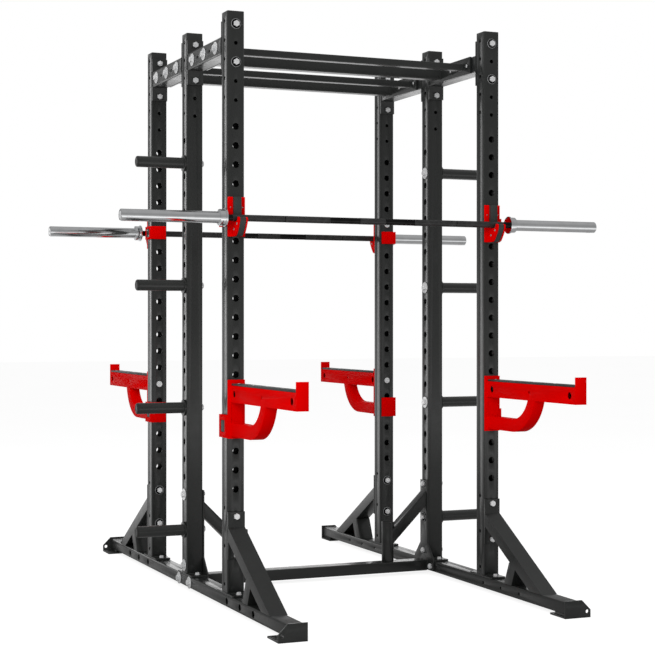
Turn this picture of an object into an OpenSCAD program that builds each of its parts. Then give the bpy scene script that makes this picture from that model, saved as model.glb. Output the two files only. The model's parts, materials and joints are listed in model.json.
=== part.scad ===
// Double-sided half rack: six square uprights on two base beams, with plate horns,
// pull-up frames, two barbells in lift-out hooks and four swing-out spotter arms.
// Origin: centre of the footprint, on the floor. X is across, -Y is the front, +Z is up.

/* [Frame] */
// Width over the outer faces of the uprights
frame_w = 1290; // [1200:5:1400]
// Overall height, caps included
frame_h = 2514; // [2434:80:2514]
// Side of the square upright tube
tube = 75; // [75:1:76]
// Clear depth of each bay, between neighbouring uprights
bay_l = 480; // [460:10:560]
// Wall of the square tubes
wall = 3; // [3:0.5:4]
// Thickness of the welded and bolted plates
plate_t = 8; // [6:1:9]
// Outer corner radius of the square tubes
corner_r = 6; // [5:0.5:7]

/* [Hole rows] */
// Distance between neighbouring holes of a row
pitch = 80; // [78:1:82]
// Diameter of the large accessory holes
pin_hole_d = 29; // [29:0.5:31]
// Diameter of the small bolt holes
bolt_hole_d = 16.5; // [16.5:0.1:17]
// Number of large holes in a row
row_n = 20; // [19:1:20]

/* [Base] */
// Overall length over the foot plates
base_l = 2580; // [2500:10:2700]
// Height of the rectangular base tube
beam_h = 50; // [48:1:52]
// Underside of the base tube above the floor
beam_z = 16; // [14:1:20]
// Height of the foot end plates
foot_h = 72; // [68:1:74]
// How far each foot reaches outside the base tube
ear_w = 40; // [30:1:45]
// Length of the foot floor plates
foot_l = 120; // [100:5:140]

/* [Pull-up frames] */
// Height of the middle of the top beams above the floor
top_beam_drop = 135; // [130:1:140]
// Length of the end plates
pull_plate_l = 390; // [370:5:400]
// Slim grip bar: depth and height
grip_bar = [40, 30];
// Side of the rear square bar
rear_bar = 50; // [45:1:60]

/* [Plate horns] */
// Diameter of each horn
horn_d = 50; // [48:0.5:50]
// Reach of a horn from the upright
horn_l = 226; // [180:1:260]
// Length of the rounded cap on a horn
horn_cap_t = 8; // [6:1:10]
// Distance from horn to horn
horn_pitch = 553; // [545:1:560]

/* [Hooks and spotter arms] */
// Diameter of the locking pins
pin_d = 28; // [27:0.5:28.5]
// Gap between a sliding plate and its upright
slide_gap = 0.5; // [0.4:0.1:1]
// Hole, counted from the top large one, that the hooks sit in
hook_hole = 4; // [4:1:5]
// Hole, counted from the top large one, that the arms sit in
arm_hole = 14; // [13:1:14]
// Reach of a spotter arm from the upright
arm_l = 750; // [500:10:800]
// Width and height of the arm tube
arm_tube = [50, 70];

/* [Barbells] */
// Overall length of a barbell
bar_l = 2236; // [2200:1:2250]
// Distance between the inner faces of the collars
collar_gap = 1334; // [1330:1:1350]
// Diameter of the gripped shaft
shaft_d = 28; // [27:0.5:28]
// Diameter of the sleeves
sleeve_d = 50; // [49:0.5:50]

/* [Hidden] */
$fn = 64;

black = [0.16, 0.16, 0.16];
liner_black = [0.08, 0.08, 0.08];
red = [0.85, 0.02, 0.02];
steel = [0.75, 0.76, 0.78];
eps = 1;

// Frame positions
half = tube / 2;
upright_x = (frame_w - tube) / 2;
upright_y = bay_l + tube;
face_y = upright_y + half;
inner_x = upright_x - half;
beam_top = beam_z + beam_h;
upright_z = beam_top + plate_t;
cap_t = 3;
upright_top = frame_h - cap_t;

// Hole rows, as heights above the floor
small_n = 5;
face_top_z = frame_h - 55;
side_top_z = frame_h - 40;
large_top_z = face_top_z - (small_n - 1) * pitch - 110;
face_small_z = [for (k = [0:small_n - 1]) face_top_z - k * pitch];
side_small_z = [for (k = [0:small_n - 1]) side_top_z - k * pitch];
large_z = [for (k = [0:row_n - 1]) large_top_z - k * pitch];
low_bolt_z = 236;
brace_bolt_z = [low_bolt_z, low_bolt_z + 2 * pitch];
side_low_z = [for (k = [0:2]) 109 + 2 * pitch * k];
horn_z = [for (k = [0:3]) side_low_z[1] + k * horn_pitch];
// Large side holes of the middle uprights leave room for the horn flanges
horn_flange_d = 73;
middle_side_z = [for (z = large_z) if (min([for (h = horn_z) abs(z - h)]) > horn_flange_d / 2 + pin_hole_d / 2) z];
beam_hole_y = [584, 744, 904];
side_hole_d = 14;
base_bolt_y = 75;

// Top beams
top_z = frame_h - top_beam_drop;
flange_h = 200;
bay_y = half + bay_l / 2;
pull_bolt_y = 2 * pitch;
grip_y = -105;
rear_y = 125;

// Outer braces
brace_angle = 30;
brace_t = 50;
brace_top_z = 351;
brace_flange_z = low_bolt_z - 20;
strut_w = 58;
strut_h = 98;
strut_lean = 24;
strut_foot = 181;

// Cross gussets and bar holders
gusset_top_z = 448;
gusset_low_z = 20;
flare_z = [75, 145];
flare_w = 200;
holder_x = 370;
holder_d = 57;
holder_bore = 51;
holder_h = 190;
cross_brace_t = 50;
cross_brace_drop = 200;

// Fasteners
bolt_d = 16;
head_d = 27.7;
head_h = 10;
washer_t = 4;
dark_washer_d = 44;
wide_washer_d = 54;
foot_bolt_d = 12;
foot_bolt_y = 75;
foot_plate_l = 205;
ear_hole_d = 16;

// Hooks: heights are from the pin, reaches from the face of the upright
hook_z = large_z[hook_hole];
hook_plate_z = [-142, 24];
hook_wrap_z = [-98, -36];
hook_window_y = [8, 58];
hook_window_z = [-88, -47];
bar_drop = 66;
bar_reach = 42;
cradle_z = [-142, -58];
cradle_front = [[44, -142], [56, -137], [68, -123], [82, -104], [91, -88], [94, -76], [92, -68], [87, -65], [32, -58]];
side_gap = 28;
side_t = 6;
side_clear = 16;
side_ahead = 17;
core_clear = shaft_d / 2 + 0.3;
core_recess = 3;
strip_w = 33;
strip_t = 16;
pin_out = 3;
wing_x = -half - slide_gap - plate_t;
return_inset = 7;

// Pads that fill the windows of the wings
pad_recess = 1;
pad_gap = 0.2;

// Arms: heights are from the pin, reaches from the face of the upright
arm_z = large_z[arm_hole];
arm_plate_z = [-187, 59];
arm_wrap_z = [-184, -88];
arm_stop_z = 76;
arm_window_y = [14, 64];
arm_window_z = [-161, -111];
strut_z = [-177, -122];
elbow_y = 230;
elbow_z = 23;
arm_hole_y = [48, 700];
arm_mid_hole = [374, 12];
arm_liner_w = 46;
arm_liner_t = 9;
pin_fit = 0.05;
pin_head_d = 34;
pin_head_t = 8;

// Barbells
bar_z = hook_z - bar_drop;
bar_y = face_y + bar_reach;
collar_d = 78;
collar_t = 8;
barrel_d = 70;
barrel_l = 24;
sleeve_cap = 8;
sleeve_edge = 4;
sleeve_fit = 0.05;

// ---- shared shapes ----

module rounded_rect(w, d, r) {
    square([w - 2 * r, d], center = true);
    square([w, d - 2 * r], center = true);
    for (x = [-1, 1], y = [-1, 1])
        translate([x * (w / 2 - r), y * (d / 2 - r)]) circle(r);
}

// Tube outline, w across and d deep, with its hollow
module tube_section(w, d, t = wall, r = corner_r) {
    difference() {
        rounded_rect(w, d, r);
        square([w - 2 * t, d - 2 * t], center = true);
    }
}

// Extrudes an outline drawn as (Y, Z) along X, centred on x = 0
module across(w) {
    translate([-w / 2, 0, 0]) rotate([90, 0, 90]) linear_extrude(w) children();
}

// Tube along X, w deep and d high, centred on the origin
module tube_x(l, w, d, t = wall, r = corner_r) {
    across(l) tube_section(w, d, t, r);
}

// Tube along Y, w across and d high, centred on the origin
module tube_y(l, w, d) {
    rotate([90, 0, 0]) linear_extrude(l, center = true) tube_section(w, d);
}

// Box given by its low and high corners
module box(low, high) {
    translate(low) cube(high - low);
}

module drill_x(d, l) {
    rotate([0, 90, 0]) cylinder(d = d, h = l, center = true);
}

module drill_y(d, l) {
    rotate([90, 0, 0]) cylinder(d = d, h = l, center = true);
}

// Mirrors a left-hand, front part to side sx (-1 left) and end sy (-1 front)
module to_corner(sx, sy) {
    mirror([sx > 0 ? 1 : 0, 0, 0]) mirror([0, sy > 0 ? 1 : 0, 0]) children();
}

// Bolt along +Z with its seat at z = 0: washer and head above, shank and nut below
module bolt(grip, washer_d, nut = true, nut_washer_d = 0) {
    stack = washer_d > 0 ? washer_t : 0;
    nut_stack = nut_washer_d > 0 ? washer_t : 0;
    tail = nut ? grip + nut_stack + head_h + 4 : grip;
    translate([0, 0, -tail]) cylinder(d = bolt_d, h = tail + stack + head_h / 2);
    if (stack > 0) cylinder(d = washer_d, h = stack);
    translate([0, 0, stack]) cylinder(d = head_d, h = head_h, $fn = 6);
    if (nut) translate([0, 0, -grip - nut_stack - head_h]) cylinder(d = head_d, h = head_h, $fn = 6);
    if (nut_stack > 0) translate([0, 0, -grip - nut_stack]) cylinder(d = nut_washer_d, h = nut_stack);
}

// ---- base ----

module base(sx) {
    color(black) to_corner(sx, -1) translate([-upright_x, 0, beam_z + beam_h / 2]) difference() {
        tube_y(base_l - 2 * plate_t, tube, beam_h);
        for (y = beam_hole_y, s = [-1, 1]) translate([0, s * y, 0]) {
            translate([-half, 0, 0]) drill_x(pin_hole_d, tube / 2);
            translate([half, 0, 0]) drill_x(side_hole_d, tube / 2);
        }
        for (s = [-1, 1]) translate([0, s * base_bolt_y, 0]) drill_x(bolt_hole_d, tube + 2);
        for (y = [-upright_y, 0, upright_y], s = [-1, 1])
            translate([0, y + s * foot_bolt_y, beam_h / 2]) cylinder(d = foot_bolt_d + 1, h = 3 * wall, center = true);
    }
}

// Foot at the left end of the front: end plate with a lug, floor plate and packer
module foot() {
    outer_x = -upright_x - half;
    in_x = -inner_x + 5;
    end_y = -base_l / 2;
    translate([0, end_y + plate_t, 0]) rotate([90, 0, 0]) linear_extrude(plate_t) difference() {
        polygon([[outer_x - ear_w, 0], [in_x, 0], [in_x, foot_h], [outer_x, foot_h],
                 [outer_x - ear_w, foot_h - ear_w]]);
        translate([outer_x - ear_w + 15, 25]) circle(d = ear_hole_d);
    }
    box([outer_x - ear_w, end_y, 0], [in_x, end_y + foot_l, plate_t]);
    box([outer_x + corner_r, end_y, 0], [-inner_x - corner_r, end_y + foot_l - 20, beam_z]);
}

module feet(sy) {
    color(black) for (sx = [-1, 1]) to_corner(sx, sy) foot();
}

// ---- uprights ----

// Upright with holes given as [height, diameter] in its faces and its sides
module upright(sx, y, face_holes, side_holes) {
    color(black) translate([sx * upright_x, y, 0]) difference() {
        translate([0, 0, upright_z]) linear_extrude(upright_top - upright_z) tube_section(tube, tube);
        for (h = face_holes) translate([0, 0, h[0]]) drill_y(h[1], tube + 2);
        for (h = side_holes) translate([0, 0, h[0]]) drill_x(h[1], tube + 2);
    }
}

module outer_upright(sx, sy) {
    faces = concat([for (z = face_small_z) [z, bolt_hole_d]], [for (z = large_z) [z, pin_hole_d]],
                   [for (z = brace_bolt_z) [z, bolt_hole_d]]);
    sides = [for (z = concat(side_small_z, side_low_z)) [z, bolt_hole_d]];
    upright(sx, sy * upright_y, faces, sides);
}

module middle_upright(sx) {
    faces = [for (z = face_small_z) [z, bolt_hole_d]];
    upper_horn_z = [for (k = [1:3]) horn_z[k]];
    sides = concat([for (z = concat(side_small_z, side_low_z, upper_horn_z)) [z, bolt_hole_d]],
                   [for (z = middle_side_z) [z, pin_hole_d]]);
    upright(sx, 0, faces, sides);
}

// Plates under the uprights, bolted to the base beams
module sole_plates() {
    color(black) for (sx = [-1, 1], y = [-upright_y, 0, upright_y]) translate([sx * upright_x, y, beam_top])
        linear_extrude(plate_t) difference() {
            rounded_rect(tube, foot_plate_l, 8);
            for (s = [-1, 1]) translate([0, s * foot_bolt_y]) circle(d = foot_bolt_d + 1);
        }
}

module upright_caps() {
    plug = tube - 2 * wall - 0.4;
    color(black) for (sx = [-1, 1], y = [-upright_y, 0, upright_y]) translate([sx * upright_x, y, 0]) {
        translate([0, 0, upright_top]) linear_extrude(cap_t) rounded_rect(tube, tube, corner_r);
        translate([0, 0, upright_top - 12]) linear_extrude(12 + eps) square(plug, center = true);
    }
}

// ---- outer braces ----

// Side outline of the sloping tube, inset all round by t; it stands on the base beam
module brace_outline(t) {
    rise = t / cos(brace_angle);
    high = brace_top_z - beam_top - rise;
    low = brace_top_z - beam_top - brace_t / cos(brace_angle) + rise;
    run = 1 / tan(brace_angle);
    polygon([[0, high], [-high * run, 0], [-low * run, 0], [0, low]]);
}

module strut_outline(t) {
    w = strut_w / cos(strut_lean) - 2 * t;
    lean = strut_h * tan(strut_lean);
    translate([-strut_foot - t, 0]) polygon([[0, 0], [-w, 0], [-w - lean, strut_h], [-lean, strut_h]]);
}

module brace(sx, sy) {
    color(black) to_corner(sx, sy) translate([-upright_x, -face_y, 0]) difference() {
        union() {
            box([-half, -plate_t, brace_flange_z], [half, 0, brace_flange_z + flange_h]);
            translate([0, -plate_t, beam_top]) across(tube) brace_outline(0);
            translate([0, 0, beam_top]) across(tube) strut_outline(0);
        }
        translate([0, -plate_t, beam_top - eps]) across(tube - 2 * wall) brace_outline(wall);
        translate([0, 0, beam_top - eps]) across(tube - 2 * wall) difference() {
            strut_outline(wall);
            translate([-plate_t, 0]) brace_outline(0);
        }
        for (z = brace_bolt_z) translate([0, 0, z]) drill_y(bolt_hole_d, 3 * plate_t);
    }
}

// ---- cross members on the floor ----

module crossbeam() {
    color(black) translate([0, 0, beam_z + beam_h / 2]) tube_x(2 * (inner_x - plate_t), tube, beam_h);
}

module gusset_flange() {
    difference() {
        polygon([[-flare_w / 2, gusset_low_z], [flare_w / 2, gusset_low_z], [flare_w / 2, flare_z[0]],
                 [half, flare_z[1]], [half, gusset_top_z], [-half, gusset_top_z],
                 [-half, flare_z[1]], [-flare_w / 2, flare_z[0]]]);
        for (z = side_low_z) translate([0, z]) circle(d = bolt_hole_d);
        for (s = [-1, 1]) translate([s * base_bolt_y, beam_z + beam_h / 2]) circle(d = bolt_hole_d);
    }
}

// Sloping cross brace as an (X, Z) outline for the left side, inset by t
module cross_brace(w, t) {
    rise = (cross_brace_t / 2 - t) * sqrt(2);
    x0 = -inner_x + plate_t;
    z0 = inner_x - plate_t - cross_brace_drop;
    z1 = holder_x - cross_brace_drop;
    translate([0, w / 2, 0]) rotate([90, 0, 0]) linear_extrude(w)
        polygon([[x0, z0 - rise], [-holder_x, z1 - rise], [-holder_x, z1 + rise], [x0, z0 + rise]]);
}

module gusset(sx) {
    color(black) to_corner(sx, -1) difference() {
        union() {
            translate([-inner_x + plate_t / 2, 0, 0]) across(plate_t) gusset_flange();
            cross_brace(cross_brace_t, 0);
        }
        cross_brace(cross_brace_t - 2 * wall, wall);
        translate([-holder_x, 0, beam_top]) cylinder(d = holder_d + 0.2, h = 2 * holder_h);
    }
}

module bar_holders() {
    color(black) for (s = [-1, 1]) translate([s * holder_x, 0, beam_top]) difference() {
        cylinder(d = holder_d, h = holder_h);
        translate([0, 0, -eps]) cylinder(d = holder_bore, h = holder_h + 2 * eps);
    }
}

// ---- top beams and pull-up frames ----

module top_beam(sx, sy) {
    color(black) to_corner(sx, sy) translate([-upright_x, -bay_y, top_z]) difference() {
        union() {
            tube_y(bay_l - plate_t, tube, tube);
            for (s = [-1, 1]) translate([0, s * (bay_l - plate_t) / 2, 0])
                cube([tube, plate_t, flange_h], center = true);
        }
        for (k = [-1:1]) translate([0, k * pull_bolt_y, 0]) drill_x(bolt_hole_d, tube + 2);
        for (k = [-1, 1]) translate([0, k * pitch, 0]) drill_x(side_hole_d, tube + 2);
        for (z = [-pitch, pitch]) translate([0, 0, z]) drill_y(bolt_hole_d, bay_l + 2);
    }
}

module pullup(sy) {
    span = 2 * (inner_x - plate_t / 2);
    color(black) translate([0, sy * bay_y, top_z]) difference() {
        union() {
            for (s = [-1, 1]) translate([s * (inner_x - plate_t / 2), 0, 0])
                cube([plate_t, pull_plate_l, tube], center = true);
            translate([0, grip_y, 0]) across(span) rounded_rect(grip_bar[0], grip_bar[1], 4);
            translate([0, rear_y, 0]) across(span) rounded_rect(rear_bar, rear_bar, 4);
        }
        translate([0, grip_y, 0]) across(frame_w) square(grip_bar - [6, 6], center = true);
        translate([0, rear_y, 0]) across(frame_w) square(rear_bar - 6, center = true);
        for (k = [-1:1]) translate([0, k * pull_bolt_y, 0]) drill_x(bolt_hole_d, frame_w);
    }
}

// ---- plate horns ----

module horns(sx) {
    bore = horn_d - 6;
    color(black) to_corner(sx, -1) for (z = horn_z) translate([-upright_x - half, 0, z]) rotate([0, -90, 0])
        difference() {
            union() {
                cylinder(d = horn_flange_d, h = plate_t);
                cylinder(d = horn_d, h = horn_l - horn_cap_t);
            }
            translate([0, 0, plate_t]) cylinder(d = bore, h = horn_l);
            translate([0, 0, -eps]) cylinder(d = bolt_hole_d, h = plate_t + 2 * eps);
        }
}

module horn_caps() {
    color(liner_black) for (sx = [-1, 1], z = horn_z) to_corner(sx, -1)
        translate([-upright_x - half - horn_l, 0, z]) rotate([0, 90, 0]) {
            cylinder(d1 = horn_d - horn_cap_t, d2 = horn_d, h = horn_cap_t);
            cylinder(d = horn_d - 6.4, h = 3 * horn_cap_t);
        }
}

// ---- fasteners ----

// Bolts of the top beams and of the outer braces
module frame_bolts() {
    color(steel) for (sx = [-1, 1]) translate([sx * upright_x, 0, 0]) {
        for (z = [top_z - pitch, top_z + pitch]) {
            for (s = [-1, 1]) translate([0, s * face_y, z]) rotate([-90 * s, 0, 0])
                bolt(tube + plate_t, dark_washer_d);
            translate([0, -half - plate_t, z]) rotate([90, 0, 0]) bolt(tube + 2 * plate_t, 0);
        }
        for (s = [-1, 1], z = brace_bolt_z) translate([0, s * (face_y + plate_t), z]) rotate([-90 * s, 0, 0])
            bolt(tube + plate_t, 0, true, dark_washer_d);
    }
}

module gusset_bolts() {
    grip = tube + plate_t;
    places = [[0, side_low_z[0]], [0, side_low_z[2]],
              [-base_bolt_y, beam_z + beam_h / 2], [base_bolt_y, beam_z + beam_h / 2]];
    color(steel) for (sx = [-1, 1], p = places) to_corner(sx, -1)
        translate([-upright_x - half, p[0], p[1]]) rotate([0, -90, 0]) bolt(grip, wide_washer_d);
}

module pullup_bolts() {
    color(steel) for (sx = [-1, 1], sy = [-1, 1], k = [-1:1]) to_corner(sx, -1)
        translate([-upright_x - half, sy * bay_y + k * pull_bolt_y, top_z]) rotate([0, -90, 0])
            bolt(tube + plate_t, wide_washer_d, false);
}

// Each horn is held by a bolt whose nut sits on the inner side of the upright
module horn_bolts() {
    color(steel) for (sx = [-1, 1], k = [0:3]) to_corner(sx, -1)
        translate([-inner_x + (k == 0 ? plate_t : 0), 0, horn_z[k]]) rotate([0, 90, 0])
            bolt(tube + plate_t + (k == 0 ? plate_t : 0), k == 0 ? dark_washer_d : wide_washer_d);
}

module foot_bolts() {
    color(steel) for (sx = [-1, 1], y = [-upright_y, 0, upright_y], s = [-1, 1])
        translate([sx * upright_x, y + s * foot_bolt_y, upright_z]) {
            translate([0, 0, -16]) cylinder(d = foot_bolt_d, h = 18);
            cylinder(d = 24, h = 2);
            translate([0, 0, 2]) cylinder(d = 20, h = 8, $fn = 6);
        }
}

// ---- lift-out hooks ----

// Puts a front left hook or arm on its upright, at height z
module on_upright(sx, sy, z) {
    to_corner(sx, sy) translate([-upright_x, -face_y, z]) children();
}

// Plate on the working face, with a windowed wing round the outer side and a return plate behind
module wrap(plate_z, wrap_z, window_y, window_z) {
    front = -slide_gap - plate_t;
    back = tube + slide_gap + plate_t;
    box([-half, front, plate_z[0]], [half, -slide_gap, plate_z[1]]);
    box([wing_x, front, wrap_z[0]], [0, -slide_gap, wrap_z[1]]);
    box([wing_x, back - plate_t, wrap_z[0]], [half - return_inset, back, wrap_z[1]]);
    difference() {
        box([wing_x, front, wrap_z[0]], [wing_x + plate_t, back, wrap_z[1]]);
        box([wing_x - eps, window_y[0], window_z[0]], [wing_x + plate_t + eps, window_y[1], window_z[1]]);
    }
}

// Polymer pad in the window of a wing
module wing_pad(window_y, window_z) {
    box([wing_x + pad_recess, window_y[0] + pad_gap, window_z[0] + pad_gap],
        [wing_x + plate_t, window_y[1] - pad_gap, window_z[1] - pad_gap]);
}

// Side outline of the bar cradle: front edge set back, and a slot of radius r for the bar, longer at the front by ahead
module cradle_outline(recess, r, ahead = 0) {
    back = -slide_gap - plate_t;
    difference() {
        polygon(concat([[back, cradle_z[0]]], [for (p = cradle_front) [recess - p[0], p[1]]], [[back, cradle_z[1]]]));
        for (y = [-bar_reach - ahead, -bar_reach]) translate([y, -bar_drop]) circle(r);
        translate([-bar_reach - ahead - r, -bar_drop]) square([2 * r + ahead, bar_drop]);
        translate([-bar_reach - ahead, -bar_drop - r]) square([ahead + eps, r]);
    }
}

module hook(sx, sy) {
    color(red) on_upright(sx, sy, hook_z) {
        wrap(hook_plate_z, hook_wrap_z, hook_window_y, hook_window_z);
        for (s = [-1, 1]) translate([s * (side_gap + side_t) / 2, 0, 0]) across(side_t)
            cradle_outline(0, side_clear, side_ahead);
        translate([0, -plate_t, 0]) rotate([-90, 0, 0]) cylinder(d = pin_d, h = plate_t + tube + pin_out);
    }
}

module hook_liner(sx, sy) {
    front = -slide_gap - plate_t;
    color(liner_black) on_upright(sx, sy, hook_z) {
        across(side_gap) cradle_outline(core_recess, core_clear);
        box([-strip_w / 2, front - strip_t, cradle_z[1]], [strip_w / 2, front, hook_plate_z[1]]);
        wing_pad(hook_window_y, hook_window_z);
    }
}

// ---- spotter arms ----

// Side outline of the bent tube under the arm, inset by t; its top ends inside the beam
module arm_strut_outline(t) {
    reach = elbow_z - strut_z[0] - t;
    translate([-elbow_y, strut_z[0] + t])
        square([elbow_y - slide_gap - plate_t, strut_z[1] - strut_z[0] - 2 * t]);
    intersection() {
        translate([-elbow_y, elbow_z]) difference() {
            circle(reach);
            circle(elbow_z - strut_z[1] + t);
        }
        translate([-elbow_y - reach - eps, strut_z[0]]) square([reach + eps, -strut_z[0]]);
    }
}

module arm_beam(t) {
    w = arm_tube / 2 - [t, t];
    box([-w[0], plate_t - arm_l, -w[1]], [w[0], -slide_gap - plate_t, w[1]]);
}

module arm(sx, sy) {
    w = arm_tube[0];
    color(red) on_upright(sx, sy, arm_z) difference() {
        union() {
            wrap(arm_plate_z, arm_wrap_z, arm_window_y, arm_window_z);
            arm_beam(0);
            across(w) arm_strut_outline(0);
            box([-w / 2, -arm_l, -arm_tube[1] / 2], [w / 2, plate_t - arm_l, arm_stop_z]);
        }
        arm_beam(wall);
        across(w - 2 * wall) arm_strut_outline(wall);
        for (y = arm_hole_y) translate([0, -y, 0]) drill_x(pin_hole_d, w + 2);
        translate([0, -arm_mid_hole[0], 0]) drill_x(arm_mid_hole[1], w + 2);
        drill_y(pin_d + 2 * pin_fit, 4 * plate_t);
    }
}

module arm_liner(sx, sy) {
    color(liner_black) on_upright(sx, sy, arm_z) {
        box([-arm_liner_w / 2, plate_t - arm_l, arm_tube[1] / 2],
            [arm_liner_w / 2, -slide_gap - plate_t, arm_tube[1] / 2 + arm_liner_t]);
        wing_pad(arm_window_y, arm_window_z);
    }
}

// Pin from inside the arm tube through both walls of the upright
module arm_pin(sx, sy) {
    head_y = -2 * slide_gap - plate_t;
    color(steel) on_upright(sx, sy, arm_z) rotate([-90, 0, 0]) {
        translate([0, 0, head_y]) cylinder(d = pin_d, h = tube + pin_out - head_y);
        translate([0, 0, head_y - pin_head_t]) cylinder(d = pin_head_d, h = pin_head_t);
    }
}

// ---- barbells ----

module shaft(sy) {
    color(liner_black) translate([0, sy * bar_y, bar_z]) drill_x(shaft_d, bar_l - 2 * sleeve_cap - 4);
}

module sleeve(sx, sy) {
    end = (bar_l - collar_gap) / 2;
    bore = shaft_d / 2 + sleeve_fit;
    color(steel) to_corner(sx, -1) translate([-collar_gap / 2, sy * bar_y, bar_z]) rotate([0, -90, 0])
        rotate_extrude() polygon([
            [bore, 0], [collar_d / 2, 0], [collar_d / 2, collar_t], [barrel_d / 2, collar_t],
            [barrel_d / 2, collar_t + barrel_l], [sleeve_d / 2, collar_t + barrel_l],
            [sleeve_d / 2, end - sleeve_edge], [sleeve_d / 2 - sleeve_edge, end], [0, end],
            [0, end - sleeve_cap], [bore, end - sleeve_cap]]);
}

base(-1);  // base_left
base(1);  // base_right
feet(-1);  // feet_front
feet(1);  // feet_back
sole_plates();
outer_upright(-1, -1);  // upright_front_left
outer_upright(1, -1);  // upright_front_right
outer_upright(-1, 1);  // upright_back_left
outer_upright(1, 1);  // upright_back_right
middle_upright(-1);  // upright_middle_left
middle_upright(1);  // upright_middle_right
upright_caps();
brace(-1, -1);  // brace_front_left
brace(1, -1);  // brace_front_right
brace(-1, 1);  // brace_back_left
brace(1, 1);  // brace_back_right
crossbeam();
gusset(-1);  // gusset_left
gusset(1);  // gusset_right
bar_holders();
top_beam(-1, -1);  // beam_front_left
top_beam(1, -1);  // beam_front_right
top_beam(-1, 1);  // beam_back_left
top_beam(1, 1);  // beam_back_right
pullup(-1);  // pullup_front
pullup(1);  // pullup_back
horns(-1);  // horns_left
horns(1);  // horns_right
horn_caps();
frame_bolts();
gusset_bolts();
pullup_bolts();
horn_bolts();
foot_bolts();
hook(-1, -1);  // hook_front_left
hook(1, -1);  // hook_front_right
hook(-1, 1);  // hook_back_left
hook(1, 1);  // hook_back_right
hook_liner(-1, -1);  // hook_liner_front_left
hook_liner(1, -1);  // hook_liner_front_right
hook_liner(-1, 1);  // hook_liner_back_left
hook_liner(1, 1);  // hook_liner_back_right
arm(-1, -1);  // arm_front_left
arm(1, -1);  // arm_front_right
arm(-1, 1);  // arm_back_left
arm(1, 1);  // arm_back_right
arm_liner(-1, -1);  // arm_liner_front_left
arm_liner(1, -1);  // arm_liner_front_right
arm_liner(-1, 1);  // arm_liner_back_left
arm_liner(1, 1);  // arm_liner_back_right
arm_pin(-1, -1);  // arm_pin_front_left
arm_pin(1, -1);  // arm_pin_front_right
arm_pin(-1, 1);  // arm_pin_back_left
arm_pin(1, 1);  // arm_pin_back_right
shaft(-1);  // shaft_front
shaft(1);  // shaft_back
sleeve(-1, -1);  // sleeve_front_left
sleeve(1, -1);  // sleeve_front_right
sleeve(-1, 1);  // sleeve_back_left
sleeve(1, 1);  // sleeve_back_right
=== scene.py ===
import json
import math

import bmesh
import bpy
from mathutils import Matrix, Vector


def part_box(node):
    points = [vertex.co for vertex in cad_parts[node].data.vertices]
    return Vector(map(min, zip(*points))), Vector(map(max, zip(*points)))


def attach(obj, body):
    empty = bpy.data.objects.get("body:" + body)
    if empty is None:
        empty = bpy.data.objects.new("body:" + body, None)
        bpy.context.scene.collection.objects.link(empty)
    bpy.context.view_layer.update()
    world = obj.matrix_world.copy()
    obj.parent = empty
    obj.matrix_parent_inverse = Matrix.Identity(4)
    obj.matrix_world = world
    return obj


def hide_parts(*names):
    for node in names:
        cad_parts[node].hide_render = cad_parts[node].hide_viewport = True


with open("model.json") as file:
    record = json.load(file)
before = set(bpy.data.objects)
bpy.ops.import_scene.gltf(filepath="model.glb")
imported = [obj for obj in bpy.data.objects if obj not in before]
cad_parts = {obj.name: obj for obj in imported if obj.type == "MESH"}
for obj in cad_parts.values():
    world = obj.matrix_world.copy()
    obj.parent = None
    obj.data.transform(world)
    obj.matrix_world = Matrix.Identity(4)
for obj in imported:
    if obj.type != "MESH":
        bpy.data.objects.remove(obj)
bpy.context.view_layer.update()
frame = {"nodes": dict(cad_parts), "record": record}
NODES = frame["nodes"]
RECORD = frame["record"]
SLOT_OF = {part["node"]: part["material_slot"] for part in RECORD["subparts"]}
BODY_OF = {node: body for body, nodes in RECORD["behaviour"]["bodies"].items() for node in nodes}
FRONT_BACK = (("front", -1), ("back", 1))
LEFT_RIGHT = (("left", -1), ("right", 1))
CORNERS = [(f"{end}_{side}", sy, sx) for end, sy in FRONT_BACK for side, sx in LEFT_RIGHT]
X, Y, Z = 0, 1, 2
MM = 0.001
scene = bpy.context.scene


# ---------------------------------------------------------------- shader helpers

def node_material(name):
    """A material with its node tree, its Principled shader and its object coordinates."""
    mat = bpy.data.materials.new(name)
    mat.use_nodes = True
    tree = mat.node_tree
    bsdf = next(n for n in tree.nodes if n.type == "BSDF_PRINCIPLED")
    coord = tree.nodes.new("ShaderNodeTexCoord")
    return mat, tree, bsdf, coord.outputs["Object"]


def link(tree, a, b):
    tree.links.new(a, b)


def combine(tree, operation, *values):
    """A Math node fed by sockets."""
    node = tree.nodes.new("ShaderNodeMath")
    node.operation = operation
    for i, value in enumerate(values):
        link(tree, value, node.inputs[i])
    return node.outputs[0]


def mapped(tree, vec, **settings):
    """A vector passed through a Mapping node, such as Scale=(1, 1, 2)."""
    mapping = tree.nodes.new("ShaderNodeMapping")
    for socket, value in settings.items():
        mapping.inputs[socket].default_value = value
    link(tree, vec, mapping.inputs["Vector"])
    return mapping.outputs["Vector"]


def noise(tree, vec, scale, detail=3.0, rough=0.5, stretch=None):
    if stretch:
        vec = mapped(tree, vec, Scale=stretch)
    n = tree.nodes.new("ShaderNodeTexNoise")
    n.inputs["Scale"].default_value = scale
    n.inputs["Detail"].default_value = detail
    n.inputs["Roughness"].default_value = rough
    link(tree, vec, n.inputs["Vector"])
    return n.outputs["Fac"]


NOISE_LOW, NOISE_HIGH = 0.3, 0.7  # nearly all of a noise's values lie between these


def ramp(tree, fac, low, high):
    """A colour between two tones."""
    r = tree.nodes.new("ShaderNodeValToRGB")
    r.color_ramp.elements[0].position = NOISE_LOW
    r.color_ramp.elements[1].position = NOISE_HIGH
    r.color_ramp.elements[0].color = (*low, 1)
    r.color_ramp.elements[1].color = (*high, 1)
    link(tree, fac, r.inputs["Fac"])
    return r.outputs["Color"]


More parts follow.
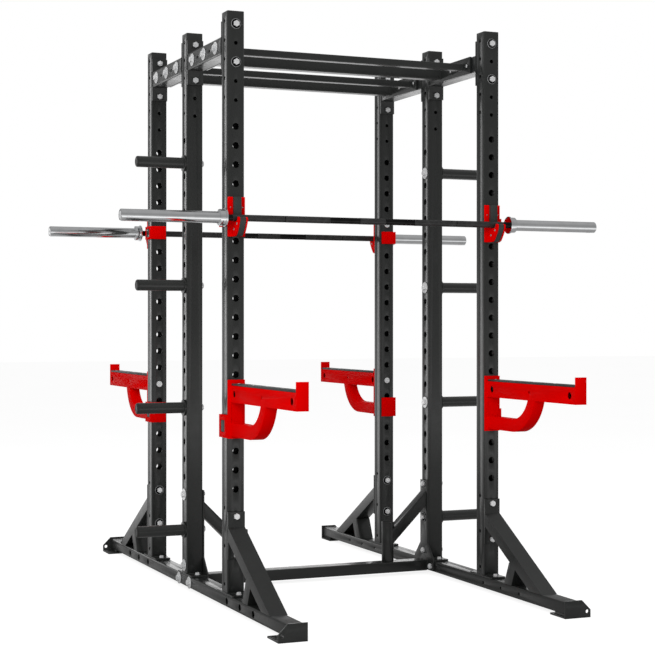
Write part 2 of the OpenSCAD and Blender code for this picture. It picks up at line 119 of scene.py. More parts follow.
def window(tree, value, start, stop):
    """A straight slope between two (value, result) pairs, level outside them."""
    m = tree.nodes.new("ShaderNodeMapRange")
    m.inputs["From Min"].default_value, m.inputs["To Min"].default_value = start
    m.inputs["From Max"].default_value, m.inputs["To Max"].default_value = stop
    link(tree, value, m.inputs["Value"])
    return m.outputs["Result"]


def spread(tree, fac, low, high):
    """A number between low and high."""
    return window(tree, fac, (NOISE_LOW, low), (NOISE_HIGH, high))


def bump(tree, height, strength, distance):
    b = tree.nodes.new("ShaderNodeBump")
    b.inputs["Strength"].default_value = strength
    b.inputs["Distance"].default_value = distance
    link(tree, height, b.inputs["Height"])
    return b.outputs["Normal"]


# ---------------------------------------------------------------- materials

def powder_coat(name, low, high, rough, grain=900.0, depth=0.12 * MM, level=0.5, gloss=0.0):
    """Sprayed and baked powder: fine orange peel, slow drift in colour and gloss."""
    mat, tree, bsdf, vec = node_material(name)
    link(tree, ramp(tree, noise(tree, vec, 6.0), low, high), bsdf.inputs["Base Color"])
    drift = spread(tree, noise(tree, vec, 35.0), rough - 0.04, rough + 0.05)
    link(tree, drift, bsdf.inputs["Roughness"])
    link(tree, bump(tree, noise(tree, vec, grain, 2.0), 0.35, depth), bsdf.inputs["Normal"])
    bsdf.inputs["Specular IOR Level"].default_value = level
    bsdf.inputs["Coat Weight"].default_value = gloss
    bsdf.inputs["Coat Roughness"].default_value = 0.13
    return mat


def polymer(name, low, high, rough, streak=(1, 1, 1)):
    """Machined or moulded dark plastic with faint tool lines."""
    mat, tree, bsdf, vec = node_material(name)
    link(tree, ramp(tree, noise(tree, vec, 20.0), low, high), bsdf.inputs["Base Color"])
    drift = spread(tree, noise(tree, vec, 120.0), rough - 0.05, rough + 0.06)
    link(tree, drift, bsdf.inputs["Roughness"])
    fine = noise(tree, vec, 260.0, 3.0, 0.6, streak)
    link(tree, bump(tree, fine, 0.3, 0.15 * MM), bsdf.inputs["Normal"])
    return mat


def metal(name, low, high, rough, stretch=(1, 1, 1), grain=220.0, depth=0.04 * MM, metallic=1.0):
    """Plated steel: fine grinding lines, drawn out along the axis with the smallest stretch."""
    mat, tree, bsdf, vec = node_material(name)
    bsdf.inputs["Metallic"].default_value = metallic
    link(tree, ramp(tree, noise(tree, vec, 30.0), low, high), bsdf.inputs["Base Color"])
    lines = noise(tree, vec, grain, 3.0, 0.5, stretch)
    link(tree, spread(tree, lines, rough * 0.7, rough * 1.4), bsdf.inputs["Roughness"])
    scratches = noise(tree, vec, grain * 3, 2.0, 0.5, stretch)
    link(tree, bump(tree, scratches, 0.25, depth), bsdf.inputs["Normal"])
    return mat


def knurled(name, low, high, tilt=0.62, groove_scale=170.0):
    """Black bar steel with a diamond knurl cut by two crossing sets of grooves."""
    mat, tree, bsdf, vec = node_material(name)
    bsdf.inputs["Metallic"].default_value = 0.35
    link(tree, ramp(tree, noise(tree, vec, 40.0), low, high), bsdf.inputs["Base Color"])
    bsdf.inputs["Roughness"].default_value = 0.42
    grooves = []
    for angle in (tilt, -tilt):
        wave = tree.nodes.new("ShaderNodeTexWave")
        wave.inputs["Scale"].default_value = groove_scale
        wave.inputs["Distortion"].default_value = 0.0
        link(tree, mapped(tree, vec, Rotation=(0, 0, angle)), wave.inputs["Vector"])
        grooves.append(wave.outputs["Fac"])
    diamonds = combine(tree, "MULTIPLY", *grooves)
    link(tree, bump(tree, diamonds, 0.5, 0.4 * MM), bsdf.inputs["Normal"])
    return mat


BLACK = powder_coat("black_powder_coat", (0.0125, 0.0135, 0.013), (0.0165, 0.0175, 0.0165), 0.33, gloss=0.3)
RED = powder_coat("red_powder_coat", (0.70, 0.0, 0.0), (0.77, 0.0, 0.0), 0.4, 700.0, 0.1 * MM, level=0.004)
LINER = polymer("liner_polymer", (0.022, 0.026, 0.025), (0.035, 0.04, 0.038), 0.5, (1, 1, 0.15))
CAP = polymer("cap_polymer", (0.012, 0.012, 0.012), (0.02, 0.02, 0.02), 0.45)
ZINC = metal("bright_zinc", (0.72, 0.73, 0.74), (0.9, 0.9, 0.9), 0.22, metallic=0.45)
DULL = metal("dark_washer_steel", (0.06, 0.062, 0.065), (0.11, 0.112, 0.115), 0.35)
GREY_ZINC = metal("grey_zinc", (0.3, 0.305, 0.31), (0.4, 0.405, 0.41), 0.35, metallic=0.7)
CHROME = metal("hard_chrome", (0.78, 0.79, 0.8), (0.86, 0.87, 0.88), 0.07, (0.02, 1, 1), 160.0, 0.01 * MM)
KNURL = knurled("knurled_black_steel", (0.02, 0.02, 0.02), (0.042, 0.042, 0.042))
OXIDE = metal("black_oxide_steel", (0.018, 0.018, 0.018), (0.03, 0.03, 0.03), 0.3, (0.05, 1, 1))

SLOT_MATERIAL = {"black_paint": BLACK, "red_paint": RED, "liner": LINER, "plug": CAP, "zinc": ZINC,
                 "chrome": CHROME, "black_shaft": KNURL}
for node, slot in SLOT_OF.items():
    NODES[node].data.materials.clear()
    NODES[node].data.materials.append(SLOT_MATERIAL[slot])


# ---------------------------------------------------------------- mesh building

def finish_piece(name, bm, mats, body, replaces=None):
    """Turns a bmesh into a piece that rides on a body; edges over 30 degrees stay sharp."""
    mesh = bpy.data.meshes.new(name)
    bm.normal_update()
    bm.to_mesh(mesh)
    bm.free()
    obj = bpy.data.objects.new(name, mesh)
    scene.collection.objects.link(obj)
    for mat in mats:
        mesh.materials.append(mat)
    for poly in mesh.polygons:
        poly.use_smooth = True
    mesh.set_sharp_from_angle(angle=math.radians(30))
    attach(obj, body)
    if replaces:
        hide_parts(replaces)
    return obj


def towards(low, high, axis, sign):
    """A box's face on the low or the high side of an axis, by sign."""
    return high[axis] if sign > 0 else low[axis]


def middle(low, high, axis):
    return (low[axis] + high[axis]) / 2


def turn_frame(axis):
    """An axis and two directions square to it."""
    axis = Vector(axis).normalized()
    side = Vector((0, 0, 1)) if abs(axis.z) < 0.9 else Vector((1, 0, 0))
    u = axis.cross(side).normalized()
    return axis, u, axis.cross(u)


def skin(bm, rows, mat):
    """Faces between rings of as many points each; a ring of one point closes to a tip."""
    seg = max(len(row) for row in rows)
    for a, b in zip(rows, rows[1:]):
        for i in range(seg):
            j = (i + 1) % seg
            quad = list(dict.fromkeys([a[i % len(a)], a[j % len(a)], b[j % len(b)], b[i % len(b)]]))
            if len(quad) > 2:
                bm.faces.new(quad).material_index = mat


def revolve(bm, origin, axis, rings, seg=48, mat=0, flats=0):
    """Skins (distance, radius) rings about an axis; a ring's third value cuts it to that many flats."""
    axis, u, v = turn_frame(axis)
    origin = Vector(origin)
    rows = []
    for ring in rings:
        h, r = ring[0], ring[1]
        cut = ring[2] if len(ring) > 2 else None
        centre = origin + axis * h
        if r <= 1e-7:
            rows.append([bm.verts.new(centre)])
            continue
        row = []
        for i in range(seg):
            a = 2 * math.pi * i / seg
            rr = r
            if flats and cut:
                w = (a + math.pi / flats) % (2 * math.pi / flats) - math.pi / flats
                rr = min(r, cut / math.cos(w))
            row.append(bm.verts.new(centre + u * (rr * math.cos(a)) + v * (rr * math.sin(a))))
        rows.append(row)
    skin(bm, rows, mat)
    for row in (rows[0], rows[-1]):
        if len(row) > 1:
            bm.faces.new(row if row is rows[-1] else row[::-1]).material_index = mat


def corner_arc(end, radius, fillet, steps=5):
    """Rings of a rounded outer edge that meets the flat end at distance end."""
    quarter = [math.pi / 2 * k / steps for k in range(steps + 1)]
    return [(end - fillet * (1 - math.sin(a)), radius - fillet * (1 - math.cos(a))) for a in quarter]


def islands(node):
    """The points of each separate solid in a CAD node."""
    mesh = NODES[node].data
    keys, parent, index = {}, [], []

    def find(i):
        while parent[i] != i:
            parent[i] = parent[parent[i]]
            i = parent[i]
        return i

    for vert in mesh.vertices:
        key = tuple(round(c * 1e5) for c in vert.co)
        if key not in keys:
            keys[key] = len(parent)
            parent.append(len(parent))
        index.append(keys[key])
    for poly in mesh.polygons:
        first = find(index[poly.vertices[0]])
        for k in poly.vertices[1:]:
            parent[find(index[k])] = first
    groups = {}
    for i, vert in enumerate(mesh.vertices):
        groups.setdefault(find(index[i]), []).append(vert.co.copy())
    return list(groups.values())


def span(points):
    """The lowest and highest corners of a group of points."""
    low = Vector([min(p[i] for p in points) for i in range(3)])
    high = Vector([max(p[i] for p in points) for i in range(3)])
    return low, high


def welded_copy(node):
    """A CAD node's mesh as a bmesh, with its seams closed and its flats in one face each."""
    bm = bmesh.new()
    bm.from_mesh(NODES[node].data)
    bmesh.ops.remove_doubles(bm, verts=bm.verts, dist=1e-5)
    bmesh.ops.dissolve_limit(bm, angle_limit=math.radians(0.5), verts=bm.verts, edges=bm.edges,
                             use_dissolve_boundaries=False)
    bm.normal_update()
    return bm


def soften(node, width):
    """Replaces a CAD node by a copy whose edges over 50 degrees are rounded by width."""
    bm = welded_copy(node)
    cut = math.radians(50)
    edges = [e for e in bm.edges if len(e.link_faces) == 2 and e.calc_face_angle(0.0) > cut]
    bmesh.ops.bevel(bm, geom=edges, offset=width, offset_type="OFFSET", segments=2, profile=0.5,
                    affect="EDGES", clamp_overlap=True)
    bmesh.ops.triangulate(bm, faces=[f for f in bm.faces if len(f.verts) > 4])
    slot = SLOT_OF[node]
    finish_piece(node + "_finish", bm, [SLOT_MATERIAL[slot]], BODY_OF[node], node)


def bead(bm, points, radius, closed=False):
    """Weld bead along a path: a thin tube swelling in ripples, a ring of points about every 4 mm."""
    path = [Vector(p) for p in points]
    if closed:
        path.append(path[0])
    fine = []
    for a, b in zip(path, path[1:]):
        n = max(1, round((b - a).length / (4 * MM)))
        fine += [a.lerp(b, k / n) for k in range(n)]
    if not closed:
        fine.append(path[-1])
    count, seg, rows = len(fine), 8, []
    turns = [2 * math.pi * k / seg for k in range(seg)]
    for i, p in enumerate(fine):
        ahead = fine[(i + 1) % count] if closed or i + 1 < count else p
        behind = fine[i - 1] if closed or i > 0 else p
        _, u, v = turn_frame((ahead - behind).normalized())
        taper = 0.5 if not closed and i in (0, count - 1) else 1.0
        r = radius * (0.86 + 0.14 * math.sin(i * 2.1)) * taper
        rows.append([bm.verts.new(p + (u * math.cos(a) + v * math.sin(a)) * r) for a in turns])
    skin(bm, rows + rows[:1] if closed else rows, 0)
    if not closed:
        bm.faces.new(rows[0][::-1])
        bm.faces.new(rows[-1])


# ---------------------------------------------------------------- fasteners

# shank radius, and radius over the hexagon's corners
M12 = (6 * MM, 10 * MM)
M16 = (8 * MM, 13.85 * MM)
DARK_WASHER_R = 22 * MM


def threaded(start, end, radius, pitch=2 * MM):
    """Rings of a threaded end, from start to end, with a chamfered tip."""
    sign = 1 if end > start else -1
    rows = []
    for k in range(int(abs(end - start) / pitch)):
        base = start + sign * k * pitch
        rows += [(base, radius * 0.92), (base + sign * pitch * 0.5, radius)]
    return rows + [(end - sign * 0.0008, radius * 0.95), (end, radius * 0.8), (end, 0)]


def hexagon(bm, origin, axis, lo, hi, corner):
    """Hexagon between two distances, both ends chamfered."""
    flat, chamfer = corner * math.cos(math.pi / 6), 0.0016
    revolve(bm, origin, axis, [(lo, flat * 0.97, flat), (lo + chamfer, corner, flat),
                               (hi - chamfer, corner, flat), (hi, flat * 0.97, flat)], 48, 0, 6)


def washer(bm, origin, axis, lo, hi, r, bore, dark):
    """Washer with rounded rims; a dark one has a grey rim 2.6 mm wide round its dished face."""
    e = (hi - lo) / 4
    if not dark:
        revolve(bm, origin, axis, [(lo, bore), (lo, r - e), (lo + e, r), (hi - e, r), (hi, r - e), (hi, bore)],
                64, 0)
        return
    rim, lip, dish = r - 0.0026, 0.0004, 0.0005
    revolve(bm, origin, axis, [(lo + dish, rim), (lo, rim + lip), (lo, r - e), (lo + e, r), (hi - e, r),
                               (hi, r - e), (hi, rim + lip), (hi - dish, rim)], 64, 2)
    revolve(bm, origin, axis, [(lo + dish, bore), (lo + dish, rim + 1e-5), (hi - dish, rim + 1e-5),
                               (hi - dish, bore)], 64, 1)


def bolt_set(node, shank, corner):
    """Replaces a node's plain bolts: chamfered hexagons, rounded washers and threaded ends."""
    bm = bmesh.new()
    for points in islands(node):
        low, high = span(points)
        size = high - low
        k = Z if node == "foot_bolts" else max(range(3), key=lambda i: size[i])
        centre = (low + high) / 2
        axis = Vector([1.0 if i == k else 0.0 for i in range(3)])
        polar = [(p[k] - centre[k], (p - centre - axis * (p[k] - centre[k])).length) for p in points]
        heights = sorted({round(h, 5) for h, r in polar if abs(r - corner) < 0.2 * MM})
        for lo, hi in zip(heights[0::2], heights[1::2]):
            hexagon(bm, centre, axis, lo, hi, corner)
        rims = {}
        for h, r in polar:
            if r > corner + 0.0015:
                rims.setdefault(round(r, 3), set()).add(round(h, 5))
        for r, faces in rims.items():
            faces = sorted(faces)
            for lo, hi in zip(faces[0::2], faces[1::2]):
                washer(bm, centre, axis, lo, hi, r, shank, abs(r - DARK_WASHER_R) < MM)
        half = size[k] / 2
        ends = [h for h in (-half, half) if all(abs(h - x) > 0.1 * MM for x in heights)]
        for h in ends:
            revolve(bm, centre, axis, threaded(h * 0.6, h, shank), 24, 0)
        inner = [(-1 if h < 0 else 1) * half * 0.6 if h in ends else h * 0.9 for h in (-half, half)]
        revolve(bm, centre, axis, [(h, shank * 0.98) for h in inner], 24, 0)
    finish_piece(node + "_detail", bm, [ZINC, DULL, GREY_ZINC], "frame", node)


for node in SLOT_OF:
    if node.endswith("bolts"):
        bolt_set(node, *(M12 if node == "foot_bolts" else M16))

# ---------------------------------------------------------------- rounded plates and tubes

# the first start that fits a node's name gives its rounding in mm
ROUNDING = {"sole_plates": 1.2, "feet": 1.2, "gusset": 1.0, "brace": 1.0, "beam": 1.0, "pullup": 1.0,
            "hook_liner": 1.6, "hook": 1.0, "arm_liner": 2.0, "arm_pin": 2.0, "arm": 1.0,
            "upright": 0.5, "base": 0.5, "crossbeam": 0.5, "bar_holders": 1.0, "horns": 0.8}
for node in SLOT_OF:
    if node.endswith("bolts") or node.endswith("caps"):
        continue
    for start, width in ROUNDING.items():
        if node.startswith(start):
            soften(node, width * MM)
            break

# ---------------------------------------------------------------- caps

bm = bmesh.new()
for points in islands("horn_caps"):
    low, high = span(points)
    sx = 1 if high.x > 0 else -1
    radius = (high.z - low.z) / 2
    origin = Vector((towards(low, high, X, sx) - sx * 0.011, middle(low, high, Y), middle(low, high, Z)))
    rings = [(-0.012, radius - 0.0034), (0.0028, radius - 0.0034), (0.003, radius - 0.0004), (0.0034, radius)]
    rings += corner_arc(0.011, radius, 0.0075, 8)
    rings += [(0.011, radius * 0.55), (0.0106, radius * 0.5), (0.0106, 0)]
    revolve(bm, origin, (sx, 0, 0), rings, 64)
finish_piece("horn_cap_set", bm, [CAP], "frame", "horn_caps")

# an upright's cap from its skirt to its crown: (height from the top, inset from the edge)
CAP_PROFILE = ((-0.015, 0.0034), (-0.003, 0.0034), (-0.003, 0.0004), (-0.0024, 0.0), (-0.0012, 0.0004),
               (-0.0006, 0.002), (-0.0002, 0.006), (0.0, 0.014))
CAP_CORNERS = ((1, 1, 0), (-1, 1, 90), (-1, -1, 180), (1, -1, 270))
bm = bmesh.new()
for points in islands("upright_caps"):
    low, high = span(points)
    cx, cy, top = middle(low, high, X), middle(low, high, Y), high.z
    half = (high.x - low.x) / 2
    rows = []
    for h, inset in CAP_PROFILE:
        r = max(0.006 - inset * 0.3, 0.002)
        w = half - inset
        rows.append([bm.verts.new((cx + sx * (w - r) + r * math.cos(a), cy + sy * (w - r) + r * math.sin(a),
                                   top + h))
                     for sx, sy, start in CAP_CORNERS
                     for a in (math.radians(start + 15 * k) for k in range(7))])
    skin(bm, rows, 0)
    bm.faces.new(rows[-1])
    bm.faces.new(rows[0][::-1])
finish_piece("upright_cap_set", bm, [CAP], "frame", "upright_caps")

# ---------------------------------------------------------------- barbells

SHAFT_R, SLEEVE_R, COLLAR_R, BARREL_R = 14 * MM, 25 * MM, 39 * MM, 35 * MM
# grip zones from the middle of the shaft outwards, both ways: (from, to, knurled)
GRIP_ZONES = [(0, 0.06, True), (0.06, 0.2, False), (0.2, 0.403, True), (0.403, 0.407, False),
              (0.407, 0.64, True), (0.64, None, False)]
GRIP_STEP, GRIP_EDGE = 0.4 * MM, 0.6 * MM
# collar and barrel at the root of a sleeve: (distance, radius)
SLEEVE_ROOT = [(0.0, SHAFT_R + 0.0005), (0.0, COLLAR_R - 0.0015), (0.0015, COLLAR_R), (0.0065, COLLAR_R),
               (0.008, COLLAR_R - 0.0015), (0.0082, BARREL_R - 0.0012), (0.0094, BARREL_R - 0.0012),
               (0.0098, BARREL_R), (0.029, BARREL_R), (0.0315, BARREL_R - 0.0012), (0.032, BARREL_R - 0.003),
               (0.0322, SLEEVE_R + 0.0008), (0.0332, SLEEVE_R)]
# the six fine grooves near a sleeve's tip: first one's distance from the tip, and their pitch
GROOVES_FROM_TIP, GROOVE_PITCH = 46 * MM, 4.5 * MM
# the open end of a sleeve, as (depth below the tip, radius)
SLEEVE_MOUTH = [(0.0, 0.0212), (0.0016, 0.0208), (0.0016, 0.017)]
SNAP_RING = [(0.003, 0.0206), (0.0006, 0.0206), (0.0003, 0.0203), (0.0003, 0.0181), (0.0006, 0.0178),
             (0.003, 0.0178)]
END_PLUG = [(0.003, 0.0175), (0.0008, 0.0175), (0.0004, 0.0171), (0.0004, 0.006), (0.0024, 0.0052), (0.0024, 0)]


def sleeve_rings(length):
    """Rings of a sleeve's outside, from its collar to its tip."""
    rings = list(SLEEVE_ROOT)
    for k in range(6):
        at = length - GROOVES_FROM_TIP + GROOVE_PITCH * k
        rings += [(at, SLEEVE_R), (at + 0.0004, SLEEVE_R - 0.0004), (at + 0.0018, SLEEVE_R - 0.0004),
                  (at + 0.0022, SLEEVE_R)]
    return rings + corner_arc(length, SLEEVE_R, 0.0035, 6) + [(length - d, r) for d, r in SLEEVE_MOUTH]


for end, sy in FRONT_BACK:
    low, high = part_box(f"shaft_{end}")
    axis_y, axis_z = middle(low, high, Y), middle(low, high, Z)
    half = high[X]
    bm = bmesh.new()
    for lo, hi, grip in GRIP_ZONES:
        hi = half if hi is None else hi
        r = SHAFT_R if grip else SHAFT_R - GRIP_STEP
        rings = [(lo, r - GRIP_STEP), (lo + GRIP_EDGE, r), (hi - GRIP_EDGE, r), (hi, r - GRIP_STEP)]
        for sx in (-1, 1):
            revolve(bm, (0, axis_y, axis_z), (sx, 0, 0), rings, 48, 0 if grip else 1)
    finish_piece(f"shaft_{end}_detail", bm, [KNURL, OXIDE], f"barbell_{end}", f"shaft_{end}")
    for side, sx in LEFT_RIGHT:
        sleeve = f"sleeve_{end}_{side}"
        low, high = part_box(sleeve)
        start = abs(towards(low, high, X, -sx))
        length = max(abs(low[X]), abs(high[X])) - start
        origin, out = (sx * start, axis_y, axis_z), (sx, 0, 0)
        bm = bmesh.new()
        revolve(bm, origin, out, sleeve_rings(length), 96)
        revolve(bm, origin, out, [(length - d, r) for d, r in SNAP_RING], 64, 1)
        revolve(bm, origin, out, [(length - d, r) for d, r in END_PLUG], 64, 0)
        finish_piece(f"{sleeve}_detail", bm, [CHROME, DULL], sleeve, sleeve)

# ---------------------------------------------------------------- rivets, pin ends and screws

# sizes that these parts have in the CAD model
TUBE_HALF = 37.5 * MM       # half of the 75 mm tube
PLATE_FACE = 8.5 * MM       # outer face of the hooks' and arms' plates, off their upright
PEG_BELOW_TOP = 24 * MM     # a hook's peg below the top of its plate
FLANGE = 8 * MM             # thickness of the welded flanges
HORN_R = 25 * MM
# rivets and screws of a hook: (distance off its upright's outer face, height from its peg)
CHEEK_RIVETS = ((0.031, -0.112), (0.068, -0.091))
PAD_SCREWS = ((-0.021, -0.054), (-0.045, -0.081))
CHEEK = 20 * MM             # outer face of a hook's cheek, off the upright's middle
# a raised button with a turned groove on the end of a pin: (distance, radius)
PIN_END = [(-0.0024, 0.0142), (0.0002, 0.0142), (0.0012, 0.0132), (0.0012, 0.0095), (0.0002, 0.0088),
           (0.0002, 0.0062), (0.0012, 0.0055), (0.0012, 0)]


def dome(bm, place, normal, radius, height):
    """A low round head."""
    arc = [math.pi / 2 * k / 5 for k in range(5)]
    rings = [(height * math.sin(a), radius * math.cos(a)) for a in arc]
    revolve(bm, place, normal, [(-0.0006, radius)] + rings + [(height, 0)], 24)


for name, sy, sx in CORNERS:
    hooks, arm = f"hooks_{name.split('_')[0]}", f"arm_{name}"
    up_low, up_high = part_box(f"upright_{name}")
    ux = middle(up_low, up_high, X)
    face = towards(up_low, up_high, Y, sy)
    peg_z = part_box(f"hook_{name}")[1][Z] - PEG_BELOW_TOP

    # four rivets through the hook's cheeks and two on its plate
    bm = bmesh.new()
    for out, dz in CHEEK_RIVETS:
        for s in (-1, 1):
            dome(bm, (ux + s * CHEEK, face + sy * out, peg_z + dz), (s, 0, 0), 0.0055, 0.0024)
    for s in (-1, 1):
        dome(bm, (ux + s * 0.0265, face + sy * PLATE_FACE, peg_z - 0.02), (0, sy, 0), 0.003, 0.0014)
    finish_piece(f"hook_rivets_{name}", bm, [GREY_ZINC], hooks)

    # steel ends: on the hook's peg 3 mm past the upright's inner face, on the arm's pin at its CAD end
    pin_low, pin_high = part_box(f"arm_pin_{name}")
    for stem, y, z in (("hook", towards(up_low, up_high, Y, -sy) - sy * 3 * MM, peg_z),
                       ("arm_pin", towards(pin_low, pin_high, Y, -sy), middle(pin_low, pin_high, Z))):
        bm = bmesh.new()
        revolve(bm, (ux, y, z), (0, -sy, 0), PIN_END, 48)
        finish_piece(f"{stem}_end_{name}", bm, [ZINC], BODY_OF[f"{stem}_{name}"])

    # the head of the arm's pin, outside the upright, is dull
    pin = bpy.data.objects[f"arm_pin_{name}_finish"].data
    pin.materials.append(DULL)
    for poly in pin.polygons:
        poly.material_index = int(poly.center.y * sy > face * sy + MM)

    bm = bmesh.new()
    wing = sx * (abs(ux) + TUBE_HALF + PLATE_FACE)
    for out, dz in PAD_SCREWS:
        dome(bm, (wing - sx * MM, face + sy * out, peg_z + dz), (sx, 0, 0), 0.004, 0.001)
    finish_piece(f"hook_pad_screws_{name}", bm, [ZINC], hooks)

    # five screws along the arm's liner
    low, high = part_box(f"arm_liner_{name}")
    near, away = face + sy * 0.04, towards(low, high, Y, sy) - sy * 0.03
    bm = bmesh.new()
    for k in range(5):
        dome(bm, (ux, near + (away - near) * k / 4, high[Z]), (0, 0, 1), 0.0055, 0.0012)
    finish_piece(f"arm_liner_screws_{name}", bm, [ZINC], arm)

# ---------------------------------------------------------------- weld beads

FOOT_WELD, HORN_WELD, CROSS_WELD, FLANGE_WELD, HOOK_WELD = 2.6 * MM, 2.4 * MM, 2.4 * MM, 2.2 * MM, 2 * MM
ARM_WELD = (25 * MM, 33 * MM, 175 * MM)  # half width, height over the arm's pin, depth below it
# bars of a pull-up frame: (offset from its middle along Y, half width, half height)
PULLUP_BARS = ((-0.105, 0.020, 0.015), (0.125, 0.025, 0.025))


def foot_welds(bm, low, high, inset=2 * MM):
    """Four beads round the foot of an upright."""
    for y in (low[Y], high[Y]):
        bead(bm, [(low[X] + inset, y, low[Z]), (high[X] - inset, y, low[Z])], FOOT_WELD)
    for x in (low[X], high[X]):
        bead(bm, [(x, low[Y] + inset, low[Z]), (x, high[Y] - inset, low[Z])], FOOT_WELD)


bm = bmesh.new()
for name, sy, sx in CORNERS:
    foot_welds(bm, *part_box(f"upright_{name}"))
for side, sx in LEFT_RIGHT:
    foot_welds(bm, *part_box(f"upright_middle_{side}"))
    for points in islands(f"horns_{side}"):
        lo, hi = span(points)
        root = sx * (min(abs(lo.x), abs(hi.x)) + FLANGE)
        cz, r = middle(lo, hi, Z), HORN_R + 0.2 * MM
        turns = [2 * math.pi * k / 40 for k in range(40)]
        bead(bm, [(root, r * math.cos(a), cz + r * math.sin(a)) for a in turns], HORN_WELD, True)
for end, sy in FRONT_BACK:
    low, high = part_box(f"pullup_{end}")
    mid_y, mid_z = middle(low, high, Y), middle(low, high, Z)
    for sx in (-1, 1):
        x = sx * (high[X] - FLANGE)
        for dy, w, h in PULLUP_BARS:
            outline = [(dy - w, -h), (dy + w, -h), (dy + w, h), (dy - w, h)]
            bead(bm, [(x, mid_y + y, mid_z + z) for y, z in outline], FLANGE_WELD, True)
    for side, sx in LEFT_RIGHT:
        low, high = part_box(f"beam_{end}_{side}")
        mid_z = middle(low, high, Z)
        flat, tall = 3 * MM, 34 * MM  # the bead cuts the tube's corners
        outline = [(low[X] + flat, -TUBE_HALF), (high[X] - flat, -TUBE_HALF), (high[X], -tall), (high[X], tall),
                   (high[X] - flat, TUBE_HALF), (low[X] + flat, TUBE_HALF), (low[X], tall), (low[X], -tall)]
        for y in (low[Y] + FLANGE, high[Y] - FLANGE):
            bead(bm, [(x, y, mid_z + dz) for x, dz in outline], FLANGE_WELD, True)
low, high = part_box("crossbeam")
for x in (low[X], high[X]):
    bead(bm, [(x, low[Y] + 4 * MM, high[Z]), (x, high[Y] - 4 * MM, high[Z])], CROSS_WELD)
    for y in (low[Y], high[Y]):
        bead(bm, [(x, y, low[Z] + 4 * MM), (x, y, high[Z] - 4 * MM)], CROSS_WELD)
finish_piece("frame_welds", bm, [BLACK], "frame")

for name, sy, sx in CORNERS:
    low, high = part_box(f"upright_{name}")
    ux = middle(low, high, X)
    plate = towards(low, high, Y, sy) + sy * PLATE_FACE
    pin_z = middle(*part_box(f"arm_pin_{name}"), Z)
    half, above, below = ARM_WELD
    left, right, top, foot = ux - half, ux + half, pin_z + above, pin_z - below
    bm = bmesh.new()
    bead(bm, [(left, plate, top), (left, plate, foot), (right, plate, foot), (right, plate, top)], FLANGE_WELD)
    finish_piece(f"arm_welds_{name}", bm, [RED], f"arm_{name}")
    peg_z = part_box(f"hook_{name}")[1][Z] - PEG_BELOW_TOP
    bm = bmesh.new()
    for s in (-1, 1):
        x = ux + s * CHEEK
        bead(bm, [(x, plate, peg_z - 0.06), (x, plate, peg_z - 0.14)], HOOK_WELD)
    finish_piece(f"hook_welds_{name}", bm, [RED], f"hooks_{name.split('_')[0]}")


# ---------------------------------------------------------------- camera and lamps

def area_light(name, place, target, size, power):
    data = bpy.data.lights.new(name, "AREA")
    data.shape = "RECTANGLE"
    data.size, data.size_y = size
    data.energy = power
    lamp = bpy.data.objects.new(name, data)
    scene.collection.objects.link(lamp)
    lamp.location = place
    lamp.rotation_euler = (Vector(target) - Vector(place)).to_track_quat("-Z", "Y").to_euler()
    lamp.visible_glossy = False


# the pinhole camera fitted to the photograph: level, turned 22.8 degrees to the right
cam_data = bpy.data.cameras.new("camera")
cam_data.sensor_width = 36.0
cam_data.lens = 85.99
cam_data.shift_y = -0.0088
cam_data.clip_end = 100.0
camera = bpy.data.objects.new("camera", cam_data)
camera.location = (-2.796, -6.781, 1.2107)
camera.rotation_euler = (math.radians(90), 0, -0.3984)
scene.collection.objects.link(camera)
scene.camera = camera

area_light("key", (-5.3, -5.3, 4.0), (0, 0, 1.2), (5, 4), 330)
area_light("top", (0, 0, 6.0), (0, 0, 0), (6, 6), 150)

# ---------------------------------------------------------------- studio round the rack

# grey overhead, dimmer lower down, and a white wall low down on the far side
GREY, DIM, WHITE = 0.38, 0.3, 1.45
world = bpy.data.worlds.new("studio")
scene.world = world
world.use_nodes = True
tree = world.node_tree
tree.nodes.clear()
sky = tree.nodes.new("ShaderNodeTexCoord")
split = tree.nodes.new("ShaderNodeSeparateXYZ")
link(tree, mapped(tree, sky.outputs["Generated"], Rotation=(0, 0, math.radians(11))), split.inputs[0])
low = window(tree, split.outputs["Z"], (0.18, 1.0), (0.42, 0.0))
far = window(tree, split.outputs["Y"], (0.87, 0.0), (0.95, 1.0))
overhead = window(tree, split.outputs["Z"], (0.42, DIM), (0.8, GREY))
tone = tree.nodes.new("ShaderNodeMapRange")
link(tree, combine(tree, "MULTIPLY", low, far), tone.inputs["Value"])
link(tree, overhead, tone.inputs["To Min"])
tone.inputs["To Max"].default_value = WHITE
soft = tree.nodes.new("ShaderNodeBackground")
link(tree, tone.outputs["Result"], soft.inputs["Color"])
white = tree.nodes.new("ShaderNodeBackground")
white.inputs["Color"].default_value = (1, 1, 1, 1)
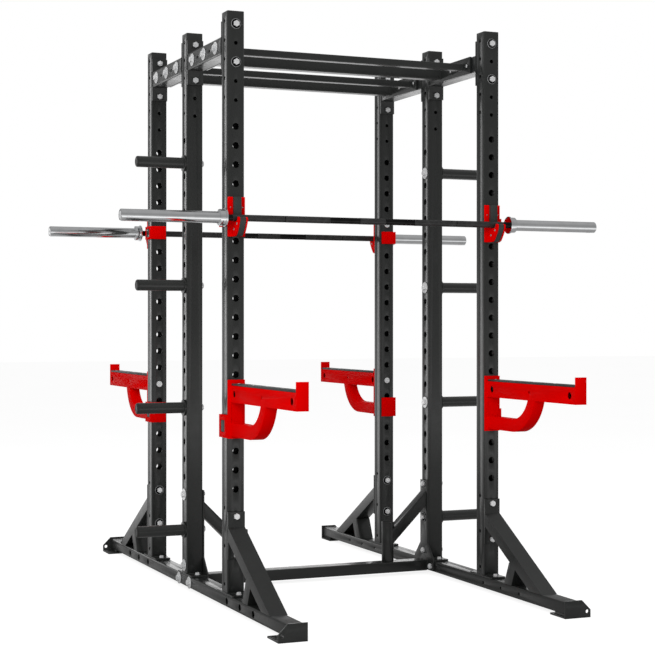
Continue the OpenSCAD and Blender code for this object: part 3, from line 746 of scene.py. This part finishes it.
ray = tree.nodes.new("ShaderNodeLightPath")
mix = tree.nodes.new("ShaderNodeMixShader")
out = tree.nodes.new("ShaderNodeOutputWorld")
link(tree, ray.outputs["Is Camera Ray"], mix.inputs["Fac"])
link(tree, soft.outputs[0], mix.inputs[1])
link(tree, white.outputs[0], mix.inputs[2])
link(tree, mix.outputs[0], out.inputs["Surface"])

# floor: glows like a light table, so only faint shadows stay. The rack sees a lit strip in front of
# it, dark below it and bright beyond; seen directly, the floor is evenly white
FLOOR_HALF, FLOOR_GLOW = 40.0, 0.86
mat, tree, bsdf, vec = node_material("pale_floor")
link(tree, ramp(tree, noise(tree, vec, 0.6), (0.3, 0.3, 0.3), (0.32, 0.32, 0.32)), bsdf.inputs["Base Color"])
bsdf.inputs["Roughness"].default_value = 1.0
bsdf.inputs["Specular IOR Level"].default_value = 0.0
bsdf.inputs["Emission Color"].default_value = (1, 1, 1, 1)
reach = tree.nodes.new("ShaderNodeSeparateXYZ")
link(tree, vec, reach.inputs[0])
beyond = window(tree, reach.outputs["Y"], (0.5, 0.1), (6.0, 0.95))
strip = window(tree, reach.outputs["Y"], (-3.2, 0.85), (-1.6, 0.0))
apart = window(tree, reach.outputs["Y"], (-5.5, 0.3), (-3.6, 1.0))
ray = tree.nodes.new("ShaderNodeLightPath")
glow = tree.nodes.new("ShaderNodeMix")
link(tree, ray.outputs["Is Camera Ray"], glow.inputs["Factor"])
link(tree, combine(tree, "MULTIPLY_ADD", strip, apart, beyond), glow.inputs["A"])
glow.inputs["B"].default_value = FLOOR_GLOW
link(tree, glow.outputs["Result"], bsdf.inputs["Emission Strength"])
mesh = bpy.data.meshes.new("floor")
mesh.from_pydata([(sx * FLOOR_HALF, sy * FLOOR_HALF, 0) for sx, sy in ((-1, -1), (1, -1), (1, 1), (-1, 1))],
                 [], [(0, 1, 2, 3)])
floor = bpy.data.objects.new("floor", mesh)
floor.data.materials.append(mat)
scene.collection.objects.link(floor)

scene.view_settings.view_transform = "Standard"
scene.view_settings.look = "None"
